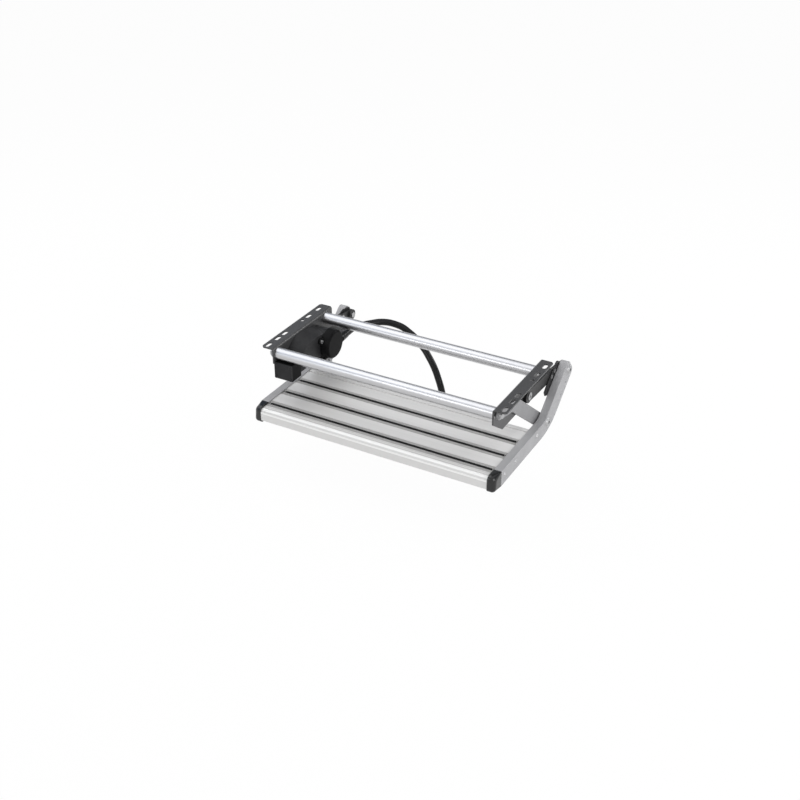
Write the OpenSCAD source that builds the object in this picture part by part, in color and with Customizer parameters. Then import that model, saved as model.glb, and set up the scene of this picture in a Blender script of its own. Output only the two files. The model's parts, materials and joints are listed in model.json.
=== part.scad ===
// Electric fold-out entry step for a caravan or camper, in its stowed pose.
// Millimetres. +X to the right seen from outside the vehicle, +Y towards the vehicle, +Z up.
// The origin lies on the mounting plane, midway between the round holes of the two brackets.

/* [Overall] */
// Width over the two side arms
step_w = 550; // [500:1:700]
// Width of a side arm seen from above
arm_w = 16; // [14:0.5:22]
// Gap between a link's outer face and the side arm
link_gap = 3; // [3:0.1:5]
// Thickness of the links
link_t = 5.5; // [4:0.5:7]
// Thickness of the spacer rings between bracket and links
spacer_t = 2; // [1:0.5:4]

/* [Brackets] */
// Sheet thickness of the brackets
bracket_t = 3; // [2:0.5:4]
// Width of a bracket's flange
flange_w = 29; // [27:0.5:36]
// Length of a bracket
bracket_len = 225; // [220:1:240]
// Distance of the round hole from the bracket's front end
hole_from_front = 139; // [138:0.5:142]
// Height of a bracket's web
web_h = 66; // [66:1:76]
// Height of the web at its front end
web_front_h = 34; // [32:1:44]
// Length of the sloping corner at the web's front end
web_slope_len = 44; // [30:1:60]
// Distance of the slots from the flange's outer edge
slot_inset = 9; // [7:0.5:10]
// Width of the slots and diameter of the round hole
slot_w = 9; // [7:0.5:10]
// Length of the slots
slot_len = 20; // [14:0.5:22]
// Radius of the flange's corners
flange_corner_r = 4; // [2:0.5:6]

/* [Tubes] */
// Outer diameter of the cross tubes
tube_d = 25; // [22:0.5:25.5]
// Wall of the cross tubes
tube_wall = 1.5; // [1:0.25:2.5]
// Depth of the tube axes below the mounting plane
tube_depth = 16.5; // [15.5:0.5:18]
// Rear tube's distance behind the round hole
rear_tube_y = 61; // [59:0.5:65]
// Length of the plugs in the tube ends
plug_len = 30; // [20:1:50]

/* [Linkage] */
// Front link's upper pivot, behind the round hole
front_pivot_y = -123; // [-125:0.5:-121]
// Front link's lower pivot, behind the round hole
step_pivot_y = 72; // [68:0.5:76]
// Front link's lower pivot, height
step_pivot_z = -131; // [-134:0.5:-127]
// Rear link's upper pivot, behind the round hole
rear_pivot_y = 14; // [12:0.5:16]
// Rear link's upper pivot, height
rear_pivot_z = -46; // [-47:0.5:-45]
// Rear link's lower pivot, behind the round hole
arm_pivot_y = 173; // [169:0.5:177]
// Rear link's lower pivot, height
arm_pivot_z = -58; // [-61:0.5:-54]
// Width of the front link near the bracket
front_link_w = 21; // [20:0.5:26]
// Width of the front link near the step
front_link_low_w = 29; // [24:0.5:30]
// Width of the rear link
rear_link_w = 27; // [24:0.5:29]
// Diameter of the pivot bolts
bolt_d = 8; // [6:0.5:10]
// Wall of the plain bushes
bush_wall = 1.5; // [1:0.25:2]
// Diameter of the rear link's eye boss
eye_d = 24; // [22:0.5:28]

/* [Side arms] */
// Sheet thickness of the arms
arm_t = 2.5; // [1.5:0.25:3]
// Height of the arm's top face
arm_top_z = -123; // [-126:0.5:-121]
// Height of the arm's section along the tread
arm_h = 34; // [32:0.5:38]
// Slope of the arm's upper part in degrees
arm_slope = 39.5; // [38:0.5:42]
// Arm above its upper pivot, measured across the slope
arm_above = 22; // [20:0.5:24]
// Arm below its upper pivot, measured across the slope
arm_below = 23; // [21:0.5:25]
// Arm beyond its upper pivot, measured along the slope
arm_beyond = 13; // [12:0.5:15]

/* [Tread] */
// Distance from the nose to the tread's rear edge
tread_depth = 209; // [205:1:215]
// Front face of the nose, ahead of the round hole
nose_y = -179; // [-182:0.5:-176]
// Radius of the nose's upper edge
nose_r = 9; // [6:0.5:12]
// Wall of the extrusion
tread_wall = 2.5; // [2:0.25:3.5]
// Distance from the nose to the first rubber strip
first_strip = 31; // [29:0.5:33]
// Distance between rubber strips
strip_pitch = 55.5; // [50:0.5:58]
// Width of a rubber strip
strip_w = 7; // [5:0.5:8]
// Height of a rubber strip
strip_h = 3; // [2:0.25:4]
// Length of a nose end cap along the arm
cap_len = 30; // [26:0.5:32]

/* [Drive] */
// Radius of the gear case
case_r = 30; // [29:0.5:31]
// Length of the gear case
case_len = 34.5; // [33:0.5:38]
// Radius of the drive cover
cover_r = 33.5; // [32:0.5:34]
// Length of the drive cover
cover_len = 19; // [18:0.5:24]
// Teeth of the sun pinion
sun_teeth = 12; // [12:12:12]
// Teeth of a planet gear
planet_teeth = 12; // [12:12:12]
// Module of the gears
gear_module = 1.25; // [1:0.05:1.3]
// Width of the gears
gear_w = 8; // [6:0.5:9]
// Width of the control box
box_w = 42; // [36:0.5:46]
// Height of the control box
box_h = 36; // [32:0.5:40]

/* [Cable] */
// Diameter of the cable
cable_d = 15; // [10:0.5:16]

/* [Hidden] */
$fn = 48;
// Clearance of a turning pin, of a still fit, and of parts that only pass each other
run_c = 0.05;
fit_c = 0.02;
pass_c = 0.3;
cut = 1;

// Planes across the step, counted from the side arms inwards
arm_out = step_w / 2;
arm_in = arm_out - arm_w;
link_out = arm_in - link_gap;
link_in = link_out - link_t;
front_link_out = link_out - pass_c;
web_out = link_in - spacer_t;
web_in = web_out - bracket_t;
flange_out = web_in + flange_w;

bracket_front = -hole_from_front;
bracket_rear = bracket_len - hole_from_front;
slot_x = flange_out - slot_inset;
bend_r = bracket_t + 2;
web_rivet_r = 2;
slots_from_front = [13, 46, 72, bracket_len - 62, bracket_len - 23];
tube_z = -tube_depth;
tube_r = tube_d / 2;
bolt_r = bolt_d / 2;
bush_r = bolt_r + bush_wall;
front_pivot = [front_pivot_y, tube_z];
front_knee = [-53, -32];
step_pivot = [step_pivot_y, step_pivot_z];
rear_pivot = [rear_pivot_y, rear_pivot_z];
rear_knee = [125, rear_pivot_z - 6.5];
rear_boss_r = 15;
arm_pivot = [arm_pivot_y, arm_pivot_z];
eye_r = eye_d / 2;
eye_len = 9.5;
head_h = 3;
head_r = 7.5;
nut_h = 6;
washer_t = 1.6;
washer_r = 8;
step_head_r = 9.5;

// Side arm: a channel open to the inside, bent up at the knee
arm_bottom_z = arm_top_z - arm_h;
arm_front = nose_y + cap_len;
slope_dir = [cos(arm_slope), sin(arm_slope)];
slope_up = [-slope_dir[1], slope_dir[0]];
arm_upper = arm_pivot + arm_above * slope_up;
arm_lower = arm_pivot - arm_below * slope_up;
arm_end_high = arm_upper + arm_beyond * slope_dir;
arm_end_low = arm_lower + arm_beyond * slope_dir;
arm_end_r = 12;
knee_top = [arm_upper[0] - (arm_upper[1] - arm_top_z) / tan(arm_slope), arm_top_z];
knee_bottom = [arm_lower[0] - (arm_lower[1] - arm_bottom_z) / tan(arm_slope), arm_bottom_z];
knee_top_r = 40;
arm_holes = [25, 54];
knee_bottom_r = 120;

// Tread, held between the flanges of the side arms
tread_top = arm_top_z - arm_t;
tread_bottom = arm_bottom_z + arm_t;
tread_rear = nose_y + tread_depth;
tread_slope = [11, 8.5];
tread_half = arm_out - arm_t - pass_c;
nose_half = arm_in - 0.5;
strip_half = arm_in - 6;
strip_ys = [for (i = [0:2]) nose_y + first_strip + i * strip_pitch];
strip_proud = 0.5;
rib_offsets = [-10.6, -8, -5.4, 5.4, 8, 10.6];
rib_w = 1.7;
rib_depth = 1.8;
nose_grooves = [96, 124, 152];
nose_groove_r = 1.1;
nose_low_r = 2 * tread_wall + 1;
screw_ys = [nose_y + 44, nose_y + 95, tread_rear - 10];
screw_z = (tread_top + tread_bottom) / 2 + 3;
screw_r = 2;
screw_boss_r = 5;
screw_head_r = 4.5;
screw_len = 16;

// Drive on the left bracket, its planes counted from the web
web_face = -web_in;
case_end = web_face + case_len;
cover_end = case_end + cover_len;
planet_orbit = gear_module * (sun_teeth + planet_teeth) / 2;
ring_teeth = sun_teeth + 2 * planet_teeth;
ring_r = gear_module * ring_teeth / 2 + 4;
case_bore_r = ring_r + fit_c;
carrier_from = web_face + 4;
carrier_t = 4;
gears_from = carrier_from + carrier_t + pass_c;
gears_to = gears_from + gear_w;
planet_pin_r = 2.5;
shaft_r = 7;
shaft_bush_r = shaft_r + bush_wall;
block_front = -104;
arch_peak = [-40, -4];
arch_front_r = 68;
arch_rear_r = 140;
arch_tilt = 15;
block_bottom = -66;
block_wall = 3;
box_top = tube_z - tube_r - 1.5;
box_from = bracket_front;
box_to = block_front - pass_c;
lid_t = 3;
lid_edge = 1.5;
lid_screw_r = 1.25;
cover_screw_r = 2;
cover_ear_r = 7;
cover_ear_t = 4;
cover_screw_len = 14;
cover_ear_at = cover_r + 4.2;
cover_head_r = cover_ear_at - cover_r - 0.2;
cover_draft = 2;
cover_ear_angles = [152, 242, 322];
cable_r = cable_d / 2;
gland_len = 24;

// Cable route from the drive: under the rear tube, up in an arch, then hanging down behind the tread
cable_exit = [case_end + cover_len / 2, rear_pivot_y + cover_r + 14.5, rear_pivot_z - 2];
cable_route = [
    [0, 0, 0], [0, 18, 0], [0, 36, 0], [3, 54, -1], [10, 70, -3], [20, 85, -4], [32, 98, -4], [47, 109, -6],
    [63, 116, -10], [80, 119, -15], [96, 119, -23], [112, 117, -31], [127, 113, -41], [141, 109, -51],
    [154, 104, -63], [166, 99, -75], [177, 94, -89], [186, 89, -103], [194, 85, -118], [200, 82, -134],
    [203, 81, -150], [204, 81, -164], [204, 81, -174]
];
cable_points = [for (p = cable_route) cable_exit + p];
connector_r = 13;
connector_len = 28;
cable_sides = 12;

// Vectors and outlines in the Y-Z plane
function unit(v) = v / norm(v);
function left(v) = [-v[1], v[0]];
function turn(a0, a1) = a1 - a0 > 180 ? a1 - a0 - 360 : a1 - a0 < -180 ? a1 - a0 + 360 : a1 - a0;
function dir(a) = [cos(a), sin(a)];
function arc(o, r, from, sweep, n) = [for (i = [0:n]) o + r * dir(from + sweep * i / n)];
// Rounded corner of radius r at b, between the lines to a and c
function corner(a, b, c, r, n = 10) =
    let (u = unit(a - b), w = unit(c - b), half = acos(u * w) / 2, o = b + unit(u + w) * r / sin(half),
         p = b + u * r / tan(half) - o, q = b + w * r / tan(half) - o,
         from = atan2(p[1], p[0]), to = atan2(q[1], q[0]))
    arc(o, r, from, turn(from, to), n);
// Outline moved inwards by t, for points that run anticlockwise
function inset(p, t) =
    [for (i = [0:len(p) - 1])
        let (a = p[(i + len(p) - 1) % len(p)], b = p[i], c = p[(i + 1) % len(p)],
             m = left(unit(b - a)), n = left(unit(c - b)))
        b + t * (m + n) / (1 + m * n)];

// A flat Y-Z shape given thickness along X
module along_x(from, to) {
    translate([from, 0, 0]) rotate([90, 0, 90]) linear_extrude(to - from) children();
}

module rod_x(from, to, r, at) {
    translate([from, at[0], at[1]]) rotate([0, 90, 0]) cylinder(r = r, h = to - from);
}

module hex_x(from, to, r, at) {
    translate([from, at[0], at[1]]) rotate([0, 90, 0]) cylinder(r = r, h = to - from, $fn = 6);
}

module ring_x(from, to, r, bore, at) {
    difference() {
        rod_x(from, to, r, at);
        rod_x(from - cut, to + cut, bore, at);
    }
}

// The same on the right side, or mirrored to the left
module side(s) {
    if (s > 0) children();
    else mirror([1, 0, 0]) children();
}

module both_sides() {
    for (s = [-1, 1]) side(s) children();
}

// Straight bar with round ends between two pivots
module bar(a, b, w) {
    d = b - a;
    along = atan2(d[1], d[0]);
    polygon(concat(arc(b, w / 2, along - 90, 180, 20), arc(a, w / 2, along + 90, 180, 20)));
}

module slot(y) {
    run = (slot_len - slot_w) / 2;
    for (d = [-run, run])
        translate([slot_x, y + d, -bracket_t - cut]) cylinder(d = slot_w, h = bracket_t + 2 * cut);
    translate([slot_x - slot_w / 2, y - run, -bracket_t - cut]) cube([slot_w, 2 * run, bracket_t + 2 * cut]);
}

// Bracket: slotted flange on the mounting plane and a web that carries tubes and links
module bracket_web() {
    difference() {
        polygon([
            [bracket_front, 0], [bracket_front, -web_front_h], [bracket_front + web_slope_len, -web_h],
            [bracket_rear - 20, -web_h], [bracket_rear, -web_h + 25], [bracket_rear, 0]
        ]);
        for (p = [front_pivot, [rear_tube_y, tube_z]]) translate(p) circle(r = bolt_r + fit_c);
        translate([bracket_front + 5, tube_z - 1]) circle(r = web_rivet_r + fit_c);
    }
}

module bracket_flange() {
    difference() {
        translate([web_in, bracket_front, -bracket_t]) cube([flange_w, bracket_len, bracket_t]);
        for (y = [bracket_front, bracket_rear])
            translate([flange_out, y, -bracket_t - cut]) rotate(45)
                cube([flange_corner_r, flange_corner_r, 3 * bracket_t + cut] * 1.4142, center = true);
        for (y = slots_from_front) slot(bracket_front + y);
        translate([slot_x, 0, -bracket_t - cut]) cylinder(d = slot_w, h = bracket_t + 2 * cut);
    }
}

// Waste outside the rounded bend between flange and web
module bend_waste() {
    translate([web_in - cut, bracket_front - cut, -bend_r]) difference() {
        cube([bend_r + cut, bracket_len + 2 * cut, bend_r + cut]);
        translate([bend_r + cut, -cut, 0]) rotate([-90, 0, 0])
            cylinder(r = bend_r, h = bracket_len + 4 * cut);
    }
}

module bracket(shaft_hole) {
    color([0.28, 0.28, 0.29]) difference() {
        union() {
            bracket_flange();
            along_x(web_in, web_out) bracket_web();
        }
        rod_x(web_in - cut, web_out + cut, shaft_hole, rear_pivot);
        bend_waste();
    }
}

module left_bracket() { side(-1) bracket(shaft_bush_r + fit_c); }
module right_bracket() { bracket(bolt_r + fit_c); }

module tube(y) {
    color([0.82, 0.83, 0.85]) ring_x(-web_in, web_in, tube_r, tube_r - tube_wall, [y, tube_z]);
}

module front_tube() { tube(front_pivot_y); }
module rear_tube() { tube(rear_tube_y); }

module tube_plugs() {
    color([0.55, 0.55, 0.57]) both_sides() for (y = [front_pivot_y, rear_tube_y])
        ring_x(web_in - plug_len, web_in, tube_r - tube_wall - fit_c, bolt_r + fit_c, [y, tube_z]);
}

// Bolt from outside into a tube plug: under_head is the face that its head lies on
module tube_bolt(y, under_head) {
    rod_x(web_in - plug_len + 5, under_head, bolt_r, [y, tube_z]);
    rod_x(under_head, under_head + washer_t, washer_r, [y, tube_z]);
    hex_x(under_head + washer_t, under_head + washer_t + head_h, head_r, [y, tube_z]);
}

module rear_tube_screws() { color([0.7, 0.7, 0.72]) both_sides() tube_bolt(rear_tube_y, web_out); }
module front_pivot_bolts() {
    color([0.7, 0.7, 0.72]) both_sides() tube_bolt(front_pivot_y, link_out);
}

module front_pivot_spacers() {
    color([0.75, 0.75, 0.77]) both_sides()
        ring_x(web_out, link_in - pass_c, bolt_r + 3, bolt_r + fit_c, front_pivot);
}

// Locating rivets at the front end of the webs
module web_rivets() {
    at = [bracket_front + 5, tube_z - 1];
    color([0.75, 0.75, 0.77]) both_sides() {
        rod_x(web_in, web_out, web_rivet_r, at);
        rod_x(web_out, web_out + spacer_t - 2 * pass_c, web_rivet_r + 1.5, at);
    }
}

// Right rear pivot: bolt with a socket in its head, washer, and nut inside the web
module right_rear_pivot_bolt() {
    head_from = link_out + pass_c;
    color([0.7, 0.7, 0.72]) {
        rod_x(web_in - nut_h - 2, head_from, bolt_r, rear_pivot);
        difference() {
            rod_x(head_from, head_from + washer_t, washer_r, rear_pivot);
            hex_x(head_from + washer_t / 4, head_from + washer_t + cut, bolt_r, rear_pivot);
        }
        difference() {
            hex_x(web_in - nut_h, web_in, head_r, rear_pivot);
            rod_x(web_in - nut_h - cut, web_in + cut, bolt_r - fit_c, rear_pivot);
        }
    }
}

module right_rear_spacer() {
    color([0.2, 0.2, 0.21]) ring_x(web_out, link_in - pass_c, rear_boss_r - 3, bolt_r + fit_c, rear_pivot);
}

// Drive housing: round gear case and the block in front of it
function ear(a) = rear_pivot + cover_ear_at * [cos(a), sin(a)];

module cover_ears() {
    for (a = cover_ear_angles) bar(rear_pivot, ear(a), 2 * cover_ear_r);
}

module ear_holes(from, to, r) {
    for (a = cover_ear_angles) rod_x(from, to, r, ear(a));
}

// Block in front of the gear case: its arched top falls away from the web
module drive_block() {
    front = asin((arch_peak[0] - block_front) / arch_front_r);
    rear = asin((rear_pivot_y - arch_peak[0]) / arch_rear_r);
    intersection() {
        along_x(web_face, case_end) difference() {
            translate([block_front, block_bottom]) square([rear_pivot_y - block_front, -block_bottom]);
            translate([block_front - cut, block_bottom - cut]) rotate(45) square(12, center = true);
        }
        translate([web_face, 0, arch_peak[1]]) rotate([0, arch_tilt, 0]) along_x(-40, 2 * case_len)
            polygon(concat([[block_front - cut, block_bottom - 30], [rear_pivot_y, block_bottom - 30]],
                arc([arch_peak[0], -arch_rear_r], arch_rear_r, 90 - rear, rear, 10),
                arc([arch_peak[0], -arch_front_r], arch_front_r, 90, front + 0.5, 16)));
    }
}

module drive_housing() {
    hollow = rear_pivot_y - case_r - 2 * block_wall - block_front - 16;
    color([0.13, 0.13, 0.14]) difference() {
        union() {
            along_x(web_face, case_end) {
                translate(rear_pivot) circle(r = case_r);
                cover_ears();
            }
            drive_block();
        }
        rod_x(carrier_from - pass_c, case_end + cut, case_bore_r, rear_pivot);
        rod_x(web_face - cut, case_end, shaft_bush_r + fit_c, rear_pivot);
        translate([web_face - cut, block_front + 16, block_bottom + block_wall])
            cube([case_len - block_wall + cut, hollow, 27]);
        ear_holes(case_end - cover_screw_len - 2, case_end + cut, cover_screw_r);
    }
}

// Round cover over the motor: closed towards the middle of the step, with a rounded rim
module drive_cover() {
    rim = 5;
    color([0.12, 0.12, 0.13]) difference() {
        union() {
            translate([case_end, rear_pivot[0], rear_pivot[1]]) rotate([0, 90, 0]) rotate_extrude($fn = 96)
                polygon(concat([[0, 0], [cover_r, 0]],
                    arc([cover_r - cover_draft - rim, cover_len - rim], rim, 6, 84, 8), [[0, cover_len]]));
            along_x(case_end, case_end + cover_ear_t) cover_ears();
        }
        rod_x(case_end - cut, cover_end - 3, cover_r - cover_draft - 3, rear_pivot);
        ear_holes(case_end - cut, case_end + cover_ear_t + cut, cover_screw_r + fit_c);
    }
}

module cover_screws() {
    head = case_end + cover_ear_t;
    color([0.75, 0.75, 0.77]) for (a = cover_ear_angles) {
        rod_x(case_end - cover_screw_len, head, cover_screw_r - fit_c, ear(a));
        difference() {
            rod_x(head, head + 3, cover_head_r, ear(a));
            hex_x(head + 1.5, head + 3 + cut, cover_screw_r, ear(a));
        }
    }
}

// Spur gear outline with slim teeth; ring gears take it as their inside
module gear_outline(teeth, tip, root, share) {
    pitch = 360 / teeth;
    tip_share = share / 2.2;
    tooth = [[root, -share], [tip, -tip_share], [tip, tip_share], [root, share]];
    polygon([for (i = [0:teeth - 1], k = tooth) k[0] * dir((i + k[1]) * pitch)]);
}

tooth_share = 0.24;

module gear(teeth) {
    r = gear_module * teeth / 2;
    gear_outline(teeth, r + 0.8 * gear_module, r - 1.1 * gear_module, tooth_share);
}

module ring_gear() {
    r = gear_module * ring_teeth / 2;
    color([0.5, 0.5, 0.52]) along_x(gears_from, gears_to) translate(rear_pivot) difference() {
        circle(r = ring_r);
        rotate(180 / ring_teeth) gear_outline(ring_teeth, r + 1.1 * gear_module, r - 0.8 * gear_module,
            0.5 - tooth_share / 2.2);
    }
}

module planet_gear(i) {
    color([0.8, 0.75, 0.6]) along_x(gears_from, gears_to)
        translate(rear_pivot) rotate(120 * i) translate([planet_orbit, 0]) difference() {
            rotate(180 / planet_teeth) gear(planet_teeth);
            circle(r = planet_pin_r + run_c);
        }
}

module planet_gear_a() { planet_gear(0); }
module planet_gear_b() { planet_gear(1); }
module planet_gear_c() { planet_gear(2); }

// Carrier with the planets' pins; its shaft leaves through the web and turns the left rear link
module planet_carrier() {
    color([0.6, 0.6, 0.62]) {
        rod_x(-link_out - washer_t, carrier_from + carrier_t, shaft_r, rear_pivot);
        rod_x(carrier_from, carrier_from + carrier_t, planet_orbit + 5, rear_pivot);
        for (i = [0:2])
            rod_x(carrier_from + carrier_t, gears_to, planet_pin_r,
                rear_pivot + planet_orbit * [cos(120 * i), sin(120 * i)]);
    }
}

module output_bush() {
    color([0.7, 0.55, 0.3])
        ring_x(-web_out, carrier_from - pass_c, shaft_bush_r, shaft_r + run_c, rear_pivot);
}

// Armature on the pivot axis, its pinion between the planets and its tail in the cover
module motor_armature() {
    color([0.45, 0.4, 0.35]) {
        along_x(gears_from, gears_to + 2) translate(rear_pivot) gear(sun_teeth);
        rod_x(gears_to + 2, cover_end - 3 - pass_c, 4, rear_pivot);
        rod_x(gears_to + 4, cover_end - 9, case_bore_r - 4, rear_pivot);
    }
}

// Control box under the front tube, flush with the bracket's front end
module control_box() {
    wall = 2;
    color([0.15, 0.15, 0.16]) difference() {
        translate([web_face, box_from + lid_t, box_top - box_h])
            cube([box_w, box_to - box_from - lid_t, box_h]);
        difference() {
            translate([web_face + wall, box_from, box_top - box_h + wall])
                cube([box_w - 2 * wall, box_to - box_from - wall, box_h - 2 * wall]);
            lid_corners(box_from) cylinder(r = 3, h = box_to - box_from);
        }
        lid_corners(box_from) cylinder(r = lid_screw_r + fit_c, h = lid_t + 12);
    }
}

module lid_corners(y) {
    for (x = [4, box_w - 4], z = [4, box_h - 4])
        translate([web_face + x, y, box_top - box_h + z]) rotate([-90, 0, 0]) children();
}

module control_box_lid() {
    low = box_top - box_h;
    color([0.18, 0.18, 0.19]) difference() {
        along_x(web_face, web_face + box_w) polygon([
            [box_from, low + lid_edge], [box_from + lid_edge, low], [box_from + lid_t, low],
            [box_from + lid_t, box_top], [box_from + lid_edge, box_top], [box_from, box_top - lid_edge]]);
        lid_corners(box_from - cut) cylinder(r = lid_screw_r + fit_c, h = lid_t + 2 * cut);
    }
}

module lid_screws() {
    color([0.6, 0.6, 0.62]) lid_corners(box_from - 1) {
        cylinder(r = lid_screw_r, h = lid_t + 10);
        cylinder(r = lid_screw_r + 1.4, h = 1);
    }
}

module control_board() {
    color([0.1, 0.35, 0.2])
        translate([web_face + 9, box_from + lid_t + 2, box_top - box_h + 8]) {
            cube([1.6, box_to - box_from - lid_t - 4, box_h - 16]);
            translate([1.6, 4, 3]) cube([14, 12, 13]);
        }
}

// Cable: a tapered gland on the drive cover, the free cable and its connector
module cable_gland() {
    foot_y = rear_pivot_y + cover_r - 3;
    exit_y = cable_exit[1];
    color([0.1, 0.1, 0.11]) difference() {
        translate([cable_exit[0], foot_y, cable_exit[2]]) rotate([-90, 0, 0])
            cylinder(r1 = cable_r + 2.4, r2 = cable_r + 1, h = exit_y + 6 - foot_y);
        translate([cable_exit[0], exit_y, cable_exit[2]]) rotate([-90, 0, 0])
            cylinder(r = cable_r + fit_c, h = gland_len);
        translate([case_end, rear_pivot[0], rear_pivot[1]]) rotate([0, 90, 0])
            cylinder(r1 = cover_r + fit_c, r2 = cover_r - cover_draft + fit_c, h = cover_len + cut);
    }
}

function tangent(i) = unit(cable_points[min(i + 1, len(cable_points) - 1)] - cable_points[max(i - 1, 0)]);
// Ring of points round the cable; the frame follows one fixed direction that the route never takes
cable_across = [-0.45, -0.55, 0.7];
function cable_ring(i) =
    let (t = tangent(i), u = unit(cross(t, cable_across)), v = cross(t, u))
    [for (k = [0:cable_sides - 1]) cable_points[i]
        + cable_r * (cos(360 * k / cable_sides) * u + sin(360 * k / cable_sides) * v)];

module power_cable() {
    n = len(cable_points);
    points = [for (i = [0:n - 1]) each cable_ring(i)];
    walls = [for (i = [0:n - 2], k = [0:cable_sides - 1])
        let (a = i * cable_sides + k, b = i * cable_sides + (k + 1) % cable_sides)
        each [[a, b, b + cable_sides], [a, b + cable_sides, a + cable_sides]]];
    ends = [[for (k = [0:cable_sides - 1]) cable_sides - 1 - k],
            [for (k = [0:cable_sides - 1]) (n - 1) * cable_sides + k]];
    color([0.07, 0.07, 0.08]) polyhedron(points, concat(walls, ends));
}

module cable_connector() {
    tip = cable_points[len(cable_points) - 1];
    sleeve = 10;
    color([0.16, 0.16, 0.17]) translate([tip[0], tip[1], tip[2] - pass_c - connector_len]) {
        cylinder(r = connector_r - 2, h = 10);
        translate([0, 0, 10]) cylinder(r = connector_r, h = connector_len - sleeve - 10);
        translate([0, 0, connector_len - sleeve])
            cylinder(r1 = connector_r - 1, r2 = cable_r + 1, h = sleeve);
    }
}

// Links
module front_link(s) {
    color([0.68, 0.68, 0.69]) side(s) difference() {
        along_x(link_in, front_link_out) {
            bar(front_pivot, front_knee, front_link_w);
            bar(front_knee, step_pivot, front_link_low_w);
        }
        for (p = [front_pivot, step_pivot]) rod_x(link_in - cut, link_out + cut, bush_r + fit_c, p);
    }
}

module left_front_link() { front_link(-1); }
module right_front_link() { front_link(1); }

module front_bushes(s) {
    color([0.75, 0.6, 0.35]) side(s) for (p = [front_pivot, step_pivot])
        ring_x(link_in, front_link_out, bush_r, bolt_r + run_c, p);
}

module left_front_bushes() { front_bushes(-1); }
module right_front_bushes() { front_bushes(1); }

module rear_link(s, bore) {
    color([0.2, 0.2, 0.21]) side(s) difference() {
        union() {
            along_x(link_in, link_out) {
                translate(rear_pivot) circle(r = rear_boss_r);
                bar(rear_pivot, rear_knee, rear_link_w);
                bar(rear_knee, arm_pivot, eye_d);
            }
            rod_x(link_out - eye_len, link_out, eye_r, arm_pivot);
        }
        rod_x(link_in - cut, link_out + cut, bore, rear_pivot);
        rod_x(link_out - eye_len - cut, link_out - 2, bolt_r + fit_c, arm_pivot);
        stop_rivet_holes();
    }
}

module left_rear_link() { rear_link(-1, shaft_r + fit_c); }
module right_rear_link() { rear_link(1, bush_r + fit_c); }

module right_rear_bush() {
    color([0.75, 0.6, 0.35]) ring_x(link_in, link_out, bush_r, bolt_r + run_c, rear_pivot);
}

// Stop plate riveted to the rear link's outer face, with a hook at its lower end
stop_t = 2;
rivet_head_t = 0.6;
rivet_r = 2.5;
stop_rivets_at = [[138, -49], [124, -56]];
stop_outline = [
    [150, -37], [126, -45], [100, -64], [94, -70], [88, -76], [93, -86], [107, -91],
    [114, -89], [140, -80], [168, -73], [184, -60], [176, -42]
];

module stop_rivet_holes() {
    for (p = stop_rivets_at) rod_x(link_in - cut, link_out + stop_t + cut, rivet_r + fit_c, p);
}

module stop_plate(s) {
    color([0.12, 0.12, 0.13]) side(s) difference() {
        along_x(link_out, link_out + stop_t)
            polygon(stop_outline);
        stop_rivet_holes();
    }
}

module left_stop_plate() { stop_plate(-1); }
module right_stop_plate() { stop_plate(1); }

module stop_rivets(s) {
    color([0.8, 0.8, 0.82]) side(s) for (p = stop_rivets_at) {
        rod_x(link_in, link_out + stop_t + rivet_head_t, rivet_r, p);
        rod_x(link_out + stop_t, link_out + stop_t + rivet_head_t, rivet_r + 1.7, p);
        rod_x(link_in - 1.5, link_in, rivet_r + 1.7, p);
    }
}

module left_stop_rivets() { stop_rivets(-1); }
module right_stop_rivets() { stop_rivets(1); }

module eye_bolt(s) {
    color([0.75, 0.75, 0.77]) side(s) {
        rod_x(link_out - eye_len, link_out - 2, bolt_r, arm_pivot);
        rod_x(link_out - eye_len - 2.5, link_out - eye_len, bolt_r + 2, arm_pivot);
    }
}

module left_eye_bolt() { eye_bolt(-1); }
module right_eye_bolt() { eye_bolt(1); }

// Side arm
arm_outline = concat(
    [[arm_front, arm_bottom_z]],
    corner([arm_front, arm_bottom_z], knee_bottom, arm_lower, knee_bottom_r),
    corner(arm_lower, arm_end_low, arm_end_high, arm_end_r),
    corner(arm_end_low, arm_end_high, arm_upper, arm_end_r),
    corner(arm_upper, knee_top, [arm_front, arm_top_z], knee_top_r),
    [[arm_front, arm_top_z]]);

module arm(s) {
    color([0.62, 0.62, 0.63]) side(s) difference() {
        along_x(arm_in, arm_out) polygon(arm_outline);
        along_x(arm_in - cut, arm_out - arm_t) {
            polygon(inset(arm_outline, arm_t));
            translate([arm_front - cut, tread_bottom]) square([arm_h, tread_top - tread_bottom]);
        }
        for (p = [step_pivot, arm_pivot]) rod_x(arm_out - arm_t - cut, arm_out + cut, bolt_r + fit_c, p);
        for (y = screw_ys) rod_x(arm_out - arm_t - cut, arm_out + cut, screw_r + fit_c, [y, screw_z]);
        for (d = arm_holes)
            rod_x(arm_out - arm_t - cut, arm_out + cut, screw_r, arm_pivot - d * slope_dir - 9.6 * slope_up);
    }
}

module left_arm() { arm(-1); }
module right_arm() { arm(1); }

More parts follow.
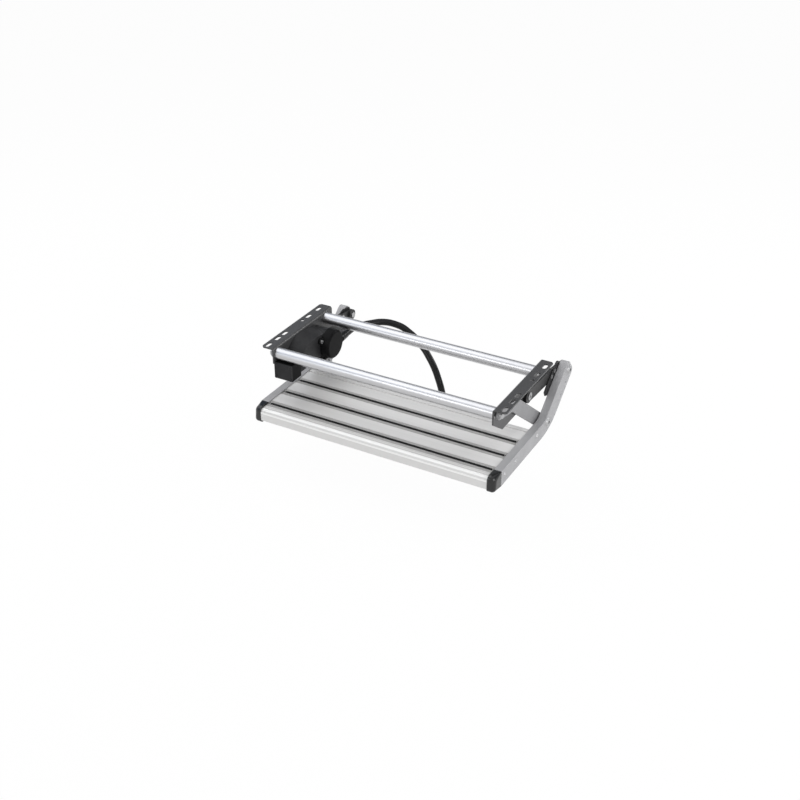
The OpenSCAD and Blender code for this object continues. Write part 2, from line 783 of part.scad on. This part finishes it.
// Tread: hollow extrusion with a rounded nose, grooves for the strips and ribs beside them
module tread_section() {
    difference() {
        polygon(concat(
            corner([nose_y, tread_top], [nose_y, tread_bottom], [tread_rear, tread_bottom], nose_low_r),
            [[tread_rear, tread_bottom], [tread_rear, tread_top - tread_slope[1]],
             [tread_rear - tread_slope[0], tread_top]],
            corner([tread_rear, tread_top], [nose_y, tread_top], [nose_y, tread_bottom], nose_r)));
        difference() {
            tread_chambers();
            for (y = screw_ys) translate([y, screw_z]) {
                circle(r = screw_boss_r);
                translate([-tread_wall / 2, 0]) square([tread_wall, tread_top - screw_z - strip_h]);
            }
        }
        for (y = screw_ys) translate([y, screw_z]) circle(r = screw_r + fit_c);
        for (y = strip_ys) translate([y, tread_top]) {
            translate([-strip_w / 2 - fit_c, -strip_h]) square([strip_w + 2 * fit_c, strip_h + cut]);
            for (d = rib_offsets) translate([d - rib_w / 2, -rib_depth]) square([rib_w, rib_depth + cut]);
        }
        translate([tread_rear - tread_slope[0] - 14, tread_top - rib_depth])
            square([2 * rib_w, rib_depth + cut]);
        for (a = nose_grooves)
            translate([nose_y + nose_r, tread_top - nose_r] + nose_r * dir(a))
                circle(r = nose_groove_r, $fn = 24);
        translate([nose_y + 15, tread_top - nose_groove_r]) square([2, nose_groove_r + cut]);
    }
}

// Hollow chambers, with a web under each strip and one behind each row of screws
module tread_chambers() {
    roof = tread_top - strip_h - tread_wall;
    ends = concat([nose_y + tread_wall], [for (y = strip_ys) y], [tread_rear - tread_wall]);
    for (i = [0:len(ends) - 2]) {
        from = ends[i] + (i > 0 ? tread_wall / 2 : 0);
        to = ends[i + 1] - (i < len(ends) - 2 ? tread_wall / 2 : 0);
        rear_roof = min(roof, tread_top - tread_slope[1] - tread_wall);
        top = i == 0 ? tread_top - nose_r : i == len(ends) - 2 ? rear_roof : roof;
        translate([from, tread_bottom + tread_wall]) square([to - from, top - tread_bottom - tread_wall]);
    }
}

module tread_profile() {
    color([0.8, 0.8, 0.8]) difference() {
        along_x(-tread_half, tread_half) tread_section();
        both_sides() translate([nose_half, nose_y - cut, tread_bottom - cut])
            cube([arm_w + cut, arm_front - nose_y + cut + fit_c, tread_top - tread_bottom + 2 * cut]);
    }
}

module strip(i) {
    color([0.1, 0.1, 0.1]) along_x(-strip_half, strip_half)
        translate([strip_ys[i], tread_top]) polygon([
            [-strip_w / 2, -strip_h], [strip_w / 2, -strip_h], [strip_w / 2, 0],
            [strip_w / 2 - 0.4, strip_proud], [-strip_w / 2 + 0.4, strip_proud], [-strip_w / 2, 0]]);
}

module front_strip() { strip(0); }
module middle_strip() { strip(1); }
module rear_strip() { strip(2); }

// Nose end cap: rounded block over the end of the nose, with a tongue in its chamber
module nose_cap(s) {
    tongue_len = 8;
    low = arm_bottom_z - 1;
    high = arm_top_z + 1;
    rear = arm_front - fit_c;
    color([0.16, 0.16, 0.17]) side(s) {
        intersection() {
            hull() {
                for (c = [[low + 8, 8], [high - 11, 11]]) {
                    translate([arm_out - c[1], nose_y - 1 + c[1], c[0]]) sphere(r = c[1], $fn = 48);
                    translate([nose_half - 4, nose_y - 1 + c[1], c[0]]) rotate([0, 90, 0])
                        cylinder(r = c[1], h = 6, $fn = 48);
                }
                translate([nose_half - 2, rear, arm_bottom_z]) cube([arm_out - nose_half + 2, 4, arm_h]);
            }
            translate([nose_half + fit_c, nose_y - 3, low - 2])
                cube([arm_w + 2, rear - nose_y + 3, high - low + 4]);
        }
        tongue_h = tread_top - nose_r - tread_bottom - tread_wall - 2 * pass_c;
        translate([nose_half - tongue_len, nose_y + tread_wall + pass_c, tread_bottom + tread_wall + pass_c])
            cube([tongue_len + fit_c, first_strip - 2.5 * tread_wall, tongue_h]);
    }
}

module left_nose_cap() { nose_cap(-1); }
module right_nose_cap() { nose_cap(1); }

module tread_screws() {
    color([0.78, 0.78, 0.8]) both_sides() for (y = screw_ys) {
        rod_x(arm_out - screw_len, arm_out, screw_r, [y, screw_z]);
        translate([arm_out, y, screw_z]) rotate([0, 90, 0])
            cylinder(r1 = screw_head_r, r2 = screw_head_r - 2, h = 2);
    }
}

// Pivots of the step: bolts through the arms, sleeves inside the arm's channel
module button_head(at) {
    difference() {
        translate([arm_out, at[0], at[1]]) rotate([0, 90, 0])
            cylinder(r1 = step_head_r, r2 = step_head_r - 2, h = 4);
        hex_x(arm_out + 1.5, arm_out + 4 + cut, bolt_r, at);
    }
}

module step_pivot_bolts() {
    nut_to = link_in - pass_c;
    color([0.7, 0.7, 0.72]) both_sides() {
        rod_x(nut_to - nut_h - 2, arm_out, bolt_r, step_pivot);
        button_head(step_pivot);
        hex_x(nut_to - nut_h, nut_to, head_r, step_pivot);
    }
}

module step_pivot_sleeves() {
    color([0.75, 0.75, 0.77]) both_sides()
        ring_x(link_out, arm_out - arm_t, bolt_r + 3, bolt_r + fit_c, step_pivot);
}

// The rear link's lower pivot is the one that stays open, so these bolts stop inside the arms
module arm_pivot_bolts() {
    color([0.7, 0.7, 0.72]) both_sides() {
        rod_x(arm_in + pass_c, arm_out, bolt_r, arm_pivot);
        button_head(arm_pivot);
    }
}

module arm_pivot_sleeves() {
    color([0.75, 0.75, 0.77]) both_sides()
        ring_x(arm_in + pass_c, arm_out - arm_t, bolt_r + 3, bolt_r + fit_c, arm_pivot);
}

left_bracket();
right_bracket();
front_tube();
rear_tube();
tube_plugs();
rear_tube_screws();
front_pivot_bolts();
front_pivot_spacers();
web_rivets();
right_rear_pivot_bolt();
right_rear_spacer();
drive_housing();
drive_cover();
cover_screws();
ring_gear();
output_bush();
control_box();
control_box_lid();
lid_screws();
control_board();
cable_gland();
power_cable();
cable_connector();
motor_armature();
planet_gear_a();
planet_gear_b();
planet_gear_c();
planet_carrier();
left_front_link();
right_front_link();
left_front_bushes();
right_front_bushes();
left_rear_link();
right_rear_link();
right_rear_bush();
left_stop_plate();
right_stop_plate();
left_stop_rivets();
right_stop_rivets();
left_eye_bolt();
right_eye_bolt();
tread_profile();
front_strip();
middle_strip();
rear_strip();
left_arm();
right_arm();
left_nose_cap();
right_nose_cap();
tread_screws();
step_pivot_bolts();
step_pivot_sleeves();
arm_pivot_bolts();
arm_pivot_sleeves();
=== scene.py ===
# Fold-out entry step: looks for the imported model. Metres, in the model's own frame.
import json

import bpy
from mathutils import Matrix, Vector


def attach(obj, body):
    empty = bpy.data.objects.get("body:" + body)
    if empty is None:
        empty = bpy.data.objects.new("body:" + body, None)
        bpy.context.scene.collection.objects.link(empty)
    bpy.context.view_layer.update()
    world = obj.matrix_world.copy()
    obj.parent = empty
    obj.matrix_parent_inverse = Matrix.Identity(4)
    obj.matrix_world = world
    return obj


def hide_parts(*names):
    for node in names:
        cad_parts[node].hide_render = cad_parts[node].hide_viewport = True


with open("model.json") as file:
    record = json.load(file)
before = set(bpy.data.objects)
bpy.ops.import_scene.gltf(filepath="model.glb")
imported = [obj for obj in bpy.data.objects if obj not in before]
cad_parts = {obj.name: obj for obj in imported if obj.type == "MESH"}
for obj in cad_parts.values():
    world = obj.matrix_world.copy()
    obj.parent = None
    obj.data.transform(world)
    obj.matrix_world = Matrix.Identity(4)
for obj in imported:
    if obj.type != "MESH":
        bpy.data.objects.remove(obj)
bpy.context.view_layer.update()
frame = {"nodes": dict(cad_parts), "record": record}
nodes = frame["nodes"]

# Camera, from the photo's perspective
CAMERA_AT = (1.02126, -1.89202, 1.15120)
CAMERA_RIGHT = Vector((0.8745, 0.4851, 0.0))
CAMERA_UP = Vector((-0.2471, 0.4454, 0.8606))
CAMERA_BACK = Vector((0.4175, -0.7526, 0.5093))
LENS_MM = 53.94
SENSOR_MM = 36.0
CLIP_NEAR = 0.05
CLIP_FAR = 50.0

# Cable route, the same points as in the part's source
CABLE_EXIT = Vector((-0.2015, 0.062, -0.048))
CABLE_ROUTE_MM = [
    (0, 0, 0), (0, 18, 0), (0, 36, 0), (3, 54, -1), (10, 70, -3), (20, 85, -4), (32, 98, -4), (47, 109, -6),
    (63, 116, -10), (80, 119, -15), (96, 119, -23), (112, 117, -31), (127, 113, -41), (141, 109, -51),
    (154, 104, -63), (166, 99, -75), (177, 94, -89), (186, 89, -103), (194, 85, -118), (200, 82, -134),
    (203, 81, -150), (204, 81, -164), (204, 81, -174),
]
CABLE_D = 0.015

# Tread: the front strip, the pitch of the strips, the half width of a ribbed flank and the top
STRIP_Y = -0.148
STRIP_PITCH = 0.0555
FLANK = 0.0112
FLANK_SOFT = 0.0006
TREAD_TOP = -0.1255
# Where the ribbed top ends behind, and how far down it counts as the top
RIBS_END_Y = (-0.014, -0.010)
TOP_DEPTH = (0.004, 0.002)
# Painted highlight lines on the nose rounding, as depths below the top, from bottom fade to top fade
UPPER_HIGHLIGHT = (0.0030, 0.0024, 0.0006, 0.0003)
LOWER_HIGHLIGHT = (0.0106, 0.0098, 0.0066, 0.0060)
NOSE_FROM_Y = (-0.168, -0.166)
# Painted shade across the groove where the rounding begins
START_SHADE_Y = (-0.1712, -0.1702, -0.1680, -0.1670)

# Grain that runs along X
TREAD_LINES = (0.006, 1, 1)
TUBE_LINES = (0.002, 1, 1)
STREAK_SCALE = 260.0
BUMP_DEPTH = 0.0001
PAINT_EDGE = 0.0012
BEVEL_SAMPLES = 6
# Cosines of the turn of the normal at an edge that gets the painted highlight and at a flat
HIGHLIGHT_COS = 0.8
FLAT_COS = 0.97

FLOOR_Z = -0.262
FLOOR_HALF = 6
FLOOR_GLOW = 0.965
AMBIENT = 0.42
# Seen and mirrored surroundings: white in front, pale grey overhead, greyer behind
BEHIND = (0, 0.8, 0.25)
BEHIND_SPAN = (-0.45, 0.8)
SKY_STOPS = [(0.0, (1, 1, 1)), (0.56, (0.5, 0.51, 0.54)), (1.0, (0.3, 0.31, 0.33))]
# Cooler and darker on the left, white near the horizon
LEFT_SPAN = (-0.50, -0.38)
LEFT_STOPS = [(0.0, (0.46, 0.55, 0.7)), (1.0, (1, 1, 1))]
HORIZON_SPAN = (0.30, 0.12)
WHITE = (1, 1, 1, 1)

# Name, place, aim, size and watts
LAMPS = [
    ("top_softbox", (0.0, 0.2, 1.9), (0, 0, -0.1), (3.2, 2.6), 15),
    ("right_softbox", (2.2, -0.7, 0.7), (0.1, 0, -0.1), (1.4, 1.4), 19),
    ("front_softbox", (-0.9, -2.3, 1.0), (-0.1, -0.1, -0.1), (0.5, 0.5), 7),
    ("left_softbox", (-1.3, 0.0, 1.45), (-0.15, 0, -0.1), (2.4, 2.4), 20),
    ("rim_softbox", (1.15, 1.6, 0.85), (0, 0, -0.1), (0.9, 0.35), 10),
]


def link(obj):
    bpy.context.collection.objects.link(obj)
    return obj


camera = link(bpy.data.objects.new("camera", bpy.data.cameras.new("camera")))
camera.data.sensor_width = SENSOR_MM
camera.data.lens = LENS_MM
camera.data.clip_start = CLIP_NEAR
camera.data.clip_end = CLIP_FAR
axes = Matrix((CAMERA_RIGHT, CAMERA_UP, CAMERA_BACK)).transposed()
camera.matrix_world = Matrix.Translation(CAMERA_AT) @ axes.to_4x4()
bpy.context.scene.camera = camera
bpy.context.scene.view_settings.view_transform = "Standard"


# Node graph of a material or of the world
class Graph:
    def __init__(self, tree):
        self.tree = tree

    # Links an output or sets a constant
    def feed(self, socket, value):
        if hasattr(value, "is_output"):
            self.tree.links.new(value, socket)
        else:
            socket.default_value = value

    def add(self, kind, **inputs):
        node = self.tree.nodes.new(kind)
        for key, value in inputs.items():
            self.feed(node.inputs[key.replace("_", " ")], value)
        return node

    def math(self, operation, first, second, kind="ShaderNodeMath"):
        node = self.tree.nodes.new(kind)
        node.operation = operation
        self.feed(node.inputs[0], first)
        self.feed(node.inputs[1], second)
        return node.outputs["Value"]

    def dot(self, first, second):
        return self.math("DOT_PRODUCT", first, second, "ShaderNodeVectorMath")

    def split(self, vector):
        node = self.tree.nodes.new("ShaderNodeSeparateXYZ")
        self.tree.links.new(vector, node.inputs[0])
        return node.outputs

    def span(self, value, start=0.0, stop=1.0, low=0.0, high=1.0, smooth=False):
        node = self.add("ShaderNodeMapRange", Value=value, From_Min=start, From_Max=stop,
                        To_Min=low, To_Max=high)
        if smooth:
            node.interpolation_type = "SMOOTHSTEP"
        return node.outputs["Result"]

    def colours(self, fac, stops):
        node = self.add("ShaderNodeValToRGB", Fac=fac)
        ramp = node.color_ramp
        while len(ramp.elements) < len(stops):
            ramp.elements.new(0.5)
        for element, (at, colour) in zip(ramp.elements, stops):
            element.position = at
            element.color = (*colour, 1.0)
        return node.outputs["Color"]

    def blend(self, fac, first, second, kind="MIX"):
        node = self.tree.nodes.new("ShaderNodeMix")
        node.data_type = "RGBA"
        node.blend_type = kind
        self.feed(node.inputs["Factor"], fac)
        self.feed(node.inputs[6], first)
        self.feed(node.inputs[7], second)
        return node.outputs[2]

    # One for rays from the camera, off a gloss or through glass
    def seen(self):
        path = self.tree.nodes.new("ShaderNodeLightPath").outputs
        mirrored = self.math("MAXIMUM", path["Is Camera Ray"], path["Is Glossy Ray"])
        return self.math("MAXIMUM", mirrored, path["Is Transmission Ray"])

    def surface(self, fac, first, second, output):
        node = self.tree.nodes.new("ShaderNodeMixShader")
        for socket, value in zip(node.inputs, (fac, first, second)):
            self.tree.links.new(value, socket)
        self.tree.links.new(node.outputs[0], self.tree.nodes[output].inputs["Surface"])


class Shader(Graph):
    def __init__(self, name):
        self.mat = bpy.data.materials.new(name)
        self.mat.use_nodes = True
        super().__init__(self.mat.node_tree)
        self.bsdf = self.tree.nodes["Principled BSDF"]

    def place(self):
        return self.tree.nodes.new("ShaderNodeTexCoord").outputs["Object"]

    def noise(self, scale, detail=4.0, stretch=(1, 1, 1)):
        where = self.add("ShaderNodeMapping", Vector=self.place(), Scale=stretch).outputs["Vector"]
        return self.add("ShaderNodeTexNoise", Vector=where, Scale=scale, Detail=detail,
                        Roughness=0.55).outputs["Fac"]

    def bump(self, height, strength, normal=None):
        node = self.add("ShaderNodeBump", Height=height, Strength=strength, Distance=BUMP_DEPTH)
        if normal is not None:
            self.tree.links.new(normal, node.inputs["Normal"])
        return node.outputs["Normal"]

    # Normal of an edge rounded by this radius
    def edge(self, radius):
        node = self.add("ShaderNodeBevel", Radius=radius)
        node.samples = BEVEL_SAMPLES
        return node.outputs["Normal"]

    # Mask of the painted edge highlight: one on the edges, zero on the flats
    def edge_highlight(self, rounded):
        plain = self.tree.nodes.new("ShaderNodeNewGeometry").outputs["Normal"]
        return self.span(self.dot(rounded, plain), HIGHLIGHT_COS, FLAT_COS, 1.0, 0.0)

    # Two shades of a cloudy or streaky grain
    def grained(self, fac, low, high):
        return self.colours(fac, [(0.3, low), (0.7, high)])

    def set(self, **values):
        for key, value in values.items():
            self.feed(self.bsdf.inputs[key.replace("_", " ")], value)


def shade(v, tint=0.0, hue=(1, 1, 1)):
    return (v * hue[0], v * hue[1], v * hue[2] * (1 + tint))


def painted(name, value, rough, grain, level=0.4, highlight_gain=1.25):
    s = Shader(name)
    cloud = s.noise(38.0, 5.0)
    rounded = s.edge(PAINT_EDGE)
    flat = s.grained(cloud, shade(value * 0.94, 0.03), shade(value * 1.06, 0.03))
    # Painted highlight: a lighter copy of the colour on the rounded edges, where light catches them
    highlit = s.grained(cloud, shade(value * highlight_gain * 0.9, 0.03), shade(value * highlight_gain * 1.1, 0.03))
    s.set(Base_Color=s.blend(s.edge_highlight(rounded), flat, highlit), Specular_IOR_Level=level,
          Roughness=s.span(s.noise(160.0, 3.0), low=rough - 0.06, high=rough + 0.06),
          Normal=s.bump(s.noise(grain, 2.0), 0.2, rounded))
    return s.mat


def metal(name, value, rough, lines=(1, 1, 1), spread=0.05, tint=0.01, bump=0.1, scale=70.0,
          hue=(1, 1, 1)):
    s = Shader(name)
    streak = s.noise(STREAK_SCALE, 4.0, lines)
    low, high = (shade(value * k, tint, hue) for k in (1 - spread, 1 + spread))
    s.set(Metallic=1.0, Base_Color=s.grained(s.noise(scale, 4.0, lines), low, high),
          Roughness=s.span(streak, low=rough * 0.8, high=rough * 1.25))
    if bump:
        s.set(Normal=s.bump(streak, bump))
    return s.mat


def plastic(name, value, rough, grain, strength, level=0.25, edge=0.001, highlight_gain=2.0, hue=(1, 1, 1)):
    s = Shader(name)
    cloud = s.noise(45.0, 4.0)
    rounded = s.edge(edge)
    low, high = (shade(value * k, 0.05, hue) for k in (0.8, 1.2))
    flat = s.grained(cloud, low, high)
    # Painted highlight: a lighter copy of the colour on the rounded edges, where light catches them
    highlit = s.grained(cloud, [highlight_gain * c for c in low], [highlight_gain * c for c in high])
    s.set(Base_Color=s.blend(s.edge_highlight(rounded), flat, highlit), Specular_IOR_Level=level,
          Roughness=s.span(s.noise(220.0, 3.0), low=rough - 0.07, high=rough + 0.07),
          Normal=s.bump(s.noise(grain, 3.0), strength, rounded))
    return s.mat


# Anodised extrusion: fine lines along X, painted shade on the ribbed flanks beside the strips and where the
# nose rounding begins, painted highlight lines on the nose rounding
def extrusion(name):
    s = Shader(name)
    at = s.split(s.place())

    def rise(value, start, stop):
        return s.span(value, start, stop, smooth=True)

    def fall(value, start, stop):
        return s.math("SUBTRACT", 1.0, rise(value, start, stop))

    def window(value, a, b, c, d):
        return s.math("SUBTRACT", rise(value, a, b), rise(value, c, d))

    def line(depths):
        return window(at["Z"], *(TREAD_TOP - d for d in depths))

    away = s.math("PINGPONG", s.math("SUBTRACT", at["Y"], STRIP_Y), STRIP_PITCH / 2)
    # Painted shade: a darker colour on the ribbed flanks and in the groove where the rounding begins
    flank = fall(away, FLANK - FLANK_SOFT, FLANK + FLANK_SOFT)
    near_top = rise(at["Z"], *(TREAD_TOP - d for d in TOP_DEPTH))
    on_top = s.math("MULTIPLY", near_top, fall(at["Y"], *RIBS_END_Y))
    start_shade = s.math("MULTIPLY", window(at["Y"], *START_SHADE_Y), on_top)
    painted_shade = s.math("MAXIMUM", s.math("MULTIPLY", flank, on_top), start_shade)
    # Painted highlight: a lighter colour on two strips of the nose rounding
    lines = s.math("ADD", line(UPPER_HIGHLIGHT), line(LOWER_HIGHLIGHT))
    nose_highlight = s.math("MULTIPLY", lines, fall(at["Y"], *NOSE_FROM_Y))

    grain = s.noise(90.0, 4.0, TREAD_LINES)
    light = s.grained(grain, (0.69, 0.685, 0.68), (0.735, 0.73, 0.725))
    shade_colour = s.grained(grain, (0.52, 0.515, 0.51), (0.61, 0.605, 0.6))
    highlight_colour = s.grained(grain, (0.88, 0.88, 0.875), (0.94, 0.94, 0.935))
    streak = s.noise(STREAK_SCALE, 4.0, TREAD_LINES)
    s.set(Base_Color=s.blend(nose_highlight, s.blend(painted_shade, light, shade_colour), highlight_colour), Metallic=0.12,
          Roughness=s.span(streak, low=0.3, high=0.44), Normal=s.bump(streak, 0.05))
    return s.mat


MATERIALS = {
    "charcoal": painted("charcoal_paint", 0.05, 0.36, 900.0, level=0.45, highlight_gain=2.6),
    "bright_tube": metal("bright_tube_steel", 0.54, 0.34, TUBE_LINES, spread=0.06, tint=0.02, bump=0.0,
                         scale=150.0),
    "plain_steel": metal("turned_steel", 0.45, 0.35),
    "zinc": metal("zinc_plate", 0.46, 0.45),
    "drive_black": plastic("drive_plastic", 0.008, 0.34, 1400.0, 0.1, level=0.04, highlight_gain=6.0),
    "bronze": metal("sintered_bronze", 0.6, 0.4, hue=(1.0, 0.7, 0.33)),
    "board": plastic("board_lacquer", 0.16, 0.5, 500.0, 0.2, highlight_gain=1.2, hue=(0.19, 1.0, 0.5)),
    "cable_black": plastic("cable_sheath", 0.004, 0.26, 700.0, 0.05, level=0.25),
    "light_grey": painted("light_grey_paint", 0.26, 0.42, 700.0),
    "link_black": painted("link_paint", 0.014, 0.36, 900.0, level=0.3, highlight_gain=3.0),
    "anodised": extrusion("anodised_extrusion"),
    "strip_rubber": plastic("strip_rubber", 0.006, 0.6, 900.0, 0.3, level=0.12),
    "arm_grey": painted("arm_paint", 0.36, 0.42, 800.0),
    "cap_black": plastic("cap_plastic", 0.007, 0.17, 1100.0, 0.04, level=0.5, edge=0.003),
}
# The drive's case and lid get a lighter copy of its plastic: painted light for the case's top and the lid's
# front, which catch more light than its cover and box
lit_drive_plastic = plastic("lit_drive_plastic", 0.026, 0.38, 1400.0, 0.1, level=0.09, highlight_gain=2.5)
PAINTED_LIGHT_NODES = ("drive_housing", "control_box_lid", "lid_screws")

slot_of = {p["node"]: p["material_slot"] for p in frame["record"]["subparts"]}
for name, node in nodes.items():
    node.data.materials.clear()
    node.data.materials.append(lit_drive_plastic if name in PAINTED_LIGHT_NODES else MATERIALS[slot_of[name]])

# Cable
points = [CABLE_EXIT + Vector(p) / 1000 for p in CABLE_ROUTE_MM]
curve = bpy.data.curves.new("cable", "CURVE")
curve.dimensions = "3D"
curve.bevel_depth = CABLE_D / 2
curve.bevel_resolution = 8
curve.use_fill_caps = True
curve.resolution_u = 6
spline = curve.splines.new("BEZIER")
spline.bezier_points.add(len(points) - 1)
for i, (bp, p) in enumerate(zip(spline.bezier_points, points)):
    before = points[max(i - 1, 0)]
    after = points[min(i + 1, len(points) - 1)]
    along = (after - before).normalized()
    bp.co = p
    bp.handle_left = p - along * (p - before).length / 3
    bp.handle_right = p + along * (after - p).length / 3
cable = link(bpy.data.objects.new("cable", curve))
cable.data.materials.append(MATERIALS["cable_black"])
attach(cable, "frame")
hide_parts("power_cable")

# Floor: white to the eye, and still shaded a little where the part stands over it
corners = [(x * FLOOR_HALF, y * FLOOR_HALF, FLOOR_Z) for x, y in ((-1, -1), (1, -1), (1, 1), (-1, 1))]
floor_mesh = bpy.data.meshes.new("floor")
floor_mesh.from_pydata(corners, [], [(0, 1, 2, 3)])
floor = link(bpy.data.objects.new("floor", floor_mesh))
paper = Shader("floor_white")
paper.set(Base_Color=(0.9, 0.9, 0.9, 1), Roughness=0.9)
glow = paper.add("ShaderNodeEmission", Color=WHITE, Strength=1.0)
paper.surface(paper.math("MULTIPLY", paper.seen(), FLOOR_GLOW), paper.bsdf.outputs[0], glow.outputs[0],
              "Material Output")
floor.data.materials.append(paper.mat)

# World: even light, with the surroundings that are seen and mirrored
world = bpy.data.worlds.new("studio")
bpy.context.scene.world = world
world.use_nodes = True
studio = Graph(world.node_tree)
ambient = studio.tree.nodes["Background"]
ambient.inputs["Color"].default_value = WHITE
ambient.inputs["Strength"].default_value = AMBIENT
way = studio.tree.nodes.new("ShaderNodeTexCoord").outputs["Generated"]
heading = studio.split(way)
sky = studio.colours(studio.span(studio.dot(way, BEHIND), *BEHIND_SPAN), SKY_STOPS)
cool = studio.colours(studio.span(heading["X"], *LEFT_SPAN), LEFT_STOPS)
tinted = studio.blend(1.0, sky, cool, "MULTIPLY")
shown = studio.blend(studio.span(heading["Z"], *HORIZON_SPAN), tinted, WHITE)
backdrop = studio.add("ShaderNodeBackground", Color=shown, Strength=1.0)
studio.surface(studio.seen(), ambient.outputs[0], backdrop.outputs[0], "World Output")

for name, at, aim, size, watts in LAMPS:
    light = bpy.data.lights.new(name, "AREA")
    light.shape = "RECTANGLE"
    light.size, light.size_y = size
    light.energy = watts
    lamp = link(bpy.data.objects.new(name, light))
    lamp.location = at
    lamp.rotation_euler = (Vector(aim) - Vector(at)).to_track_quat("-Z", "Y").to_euler()
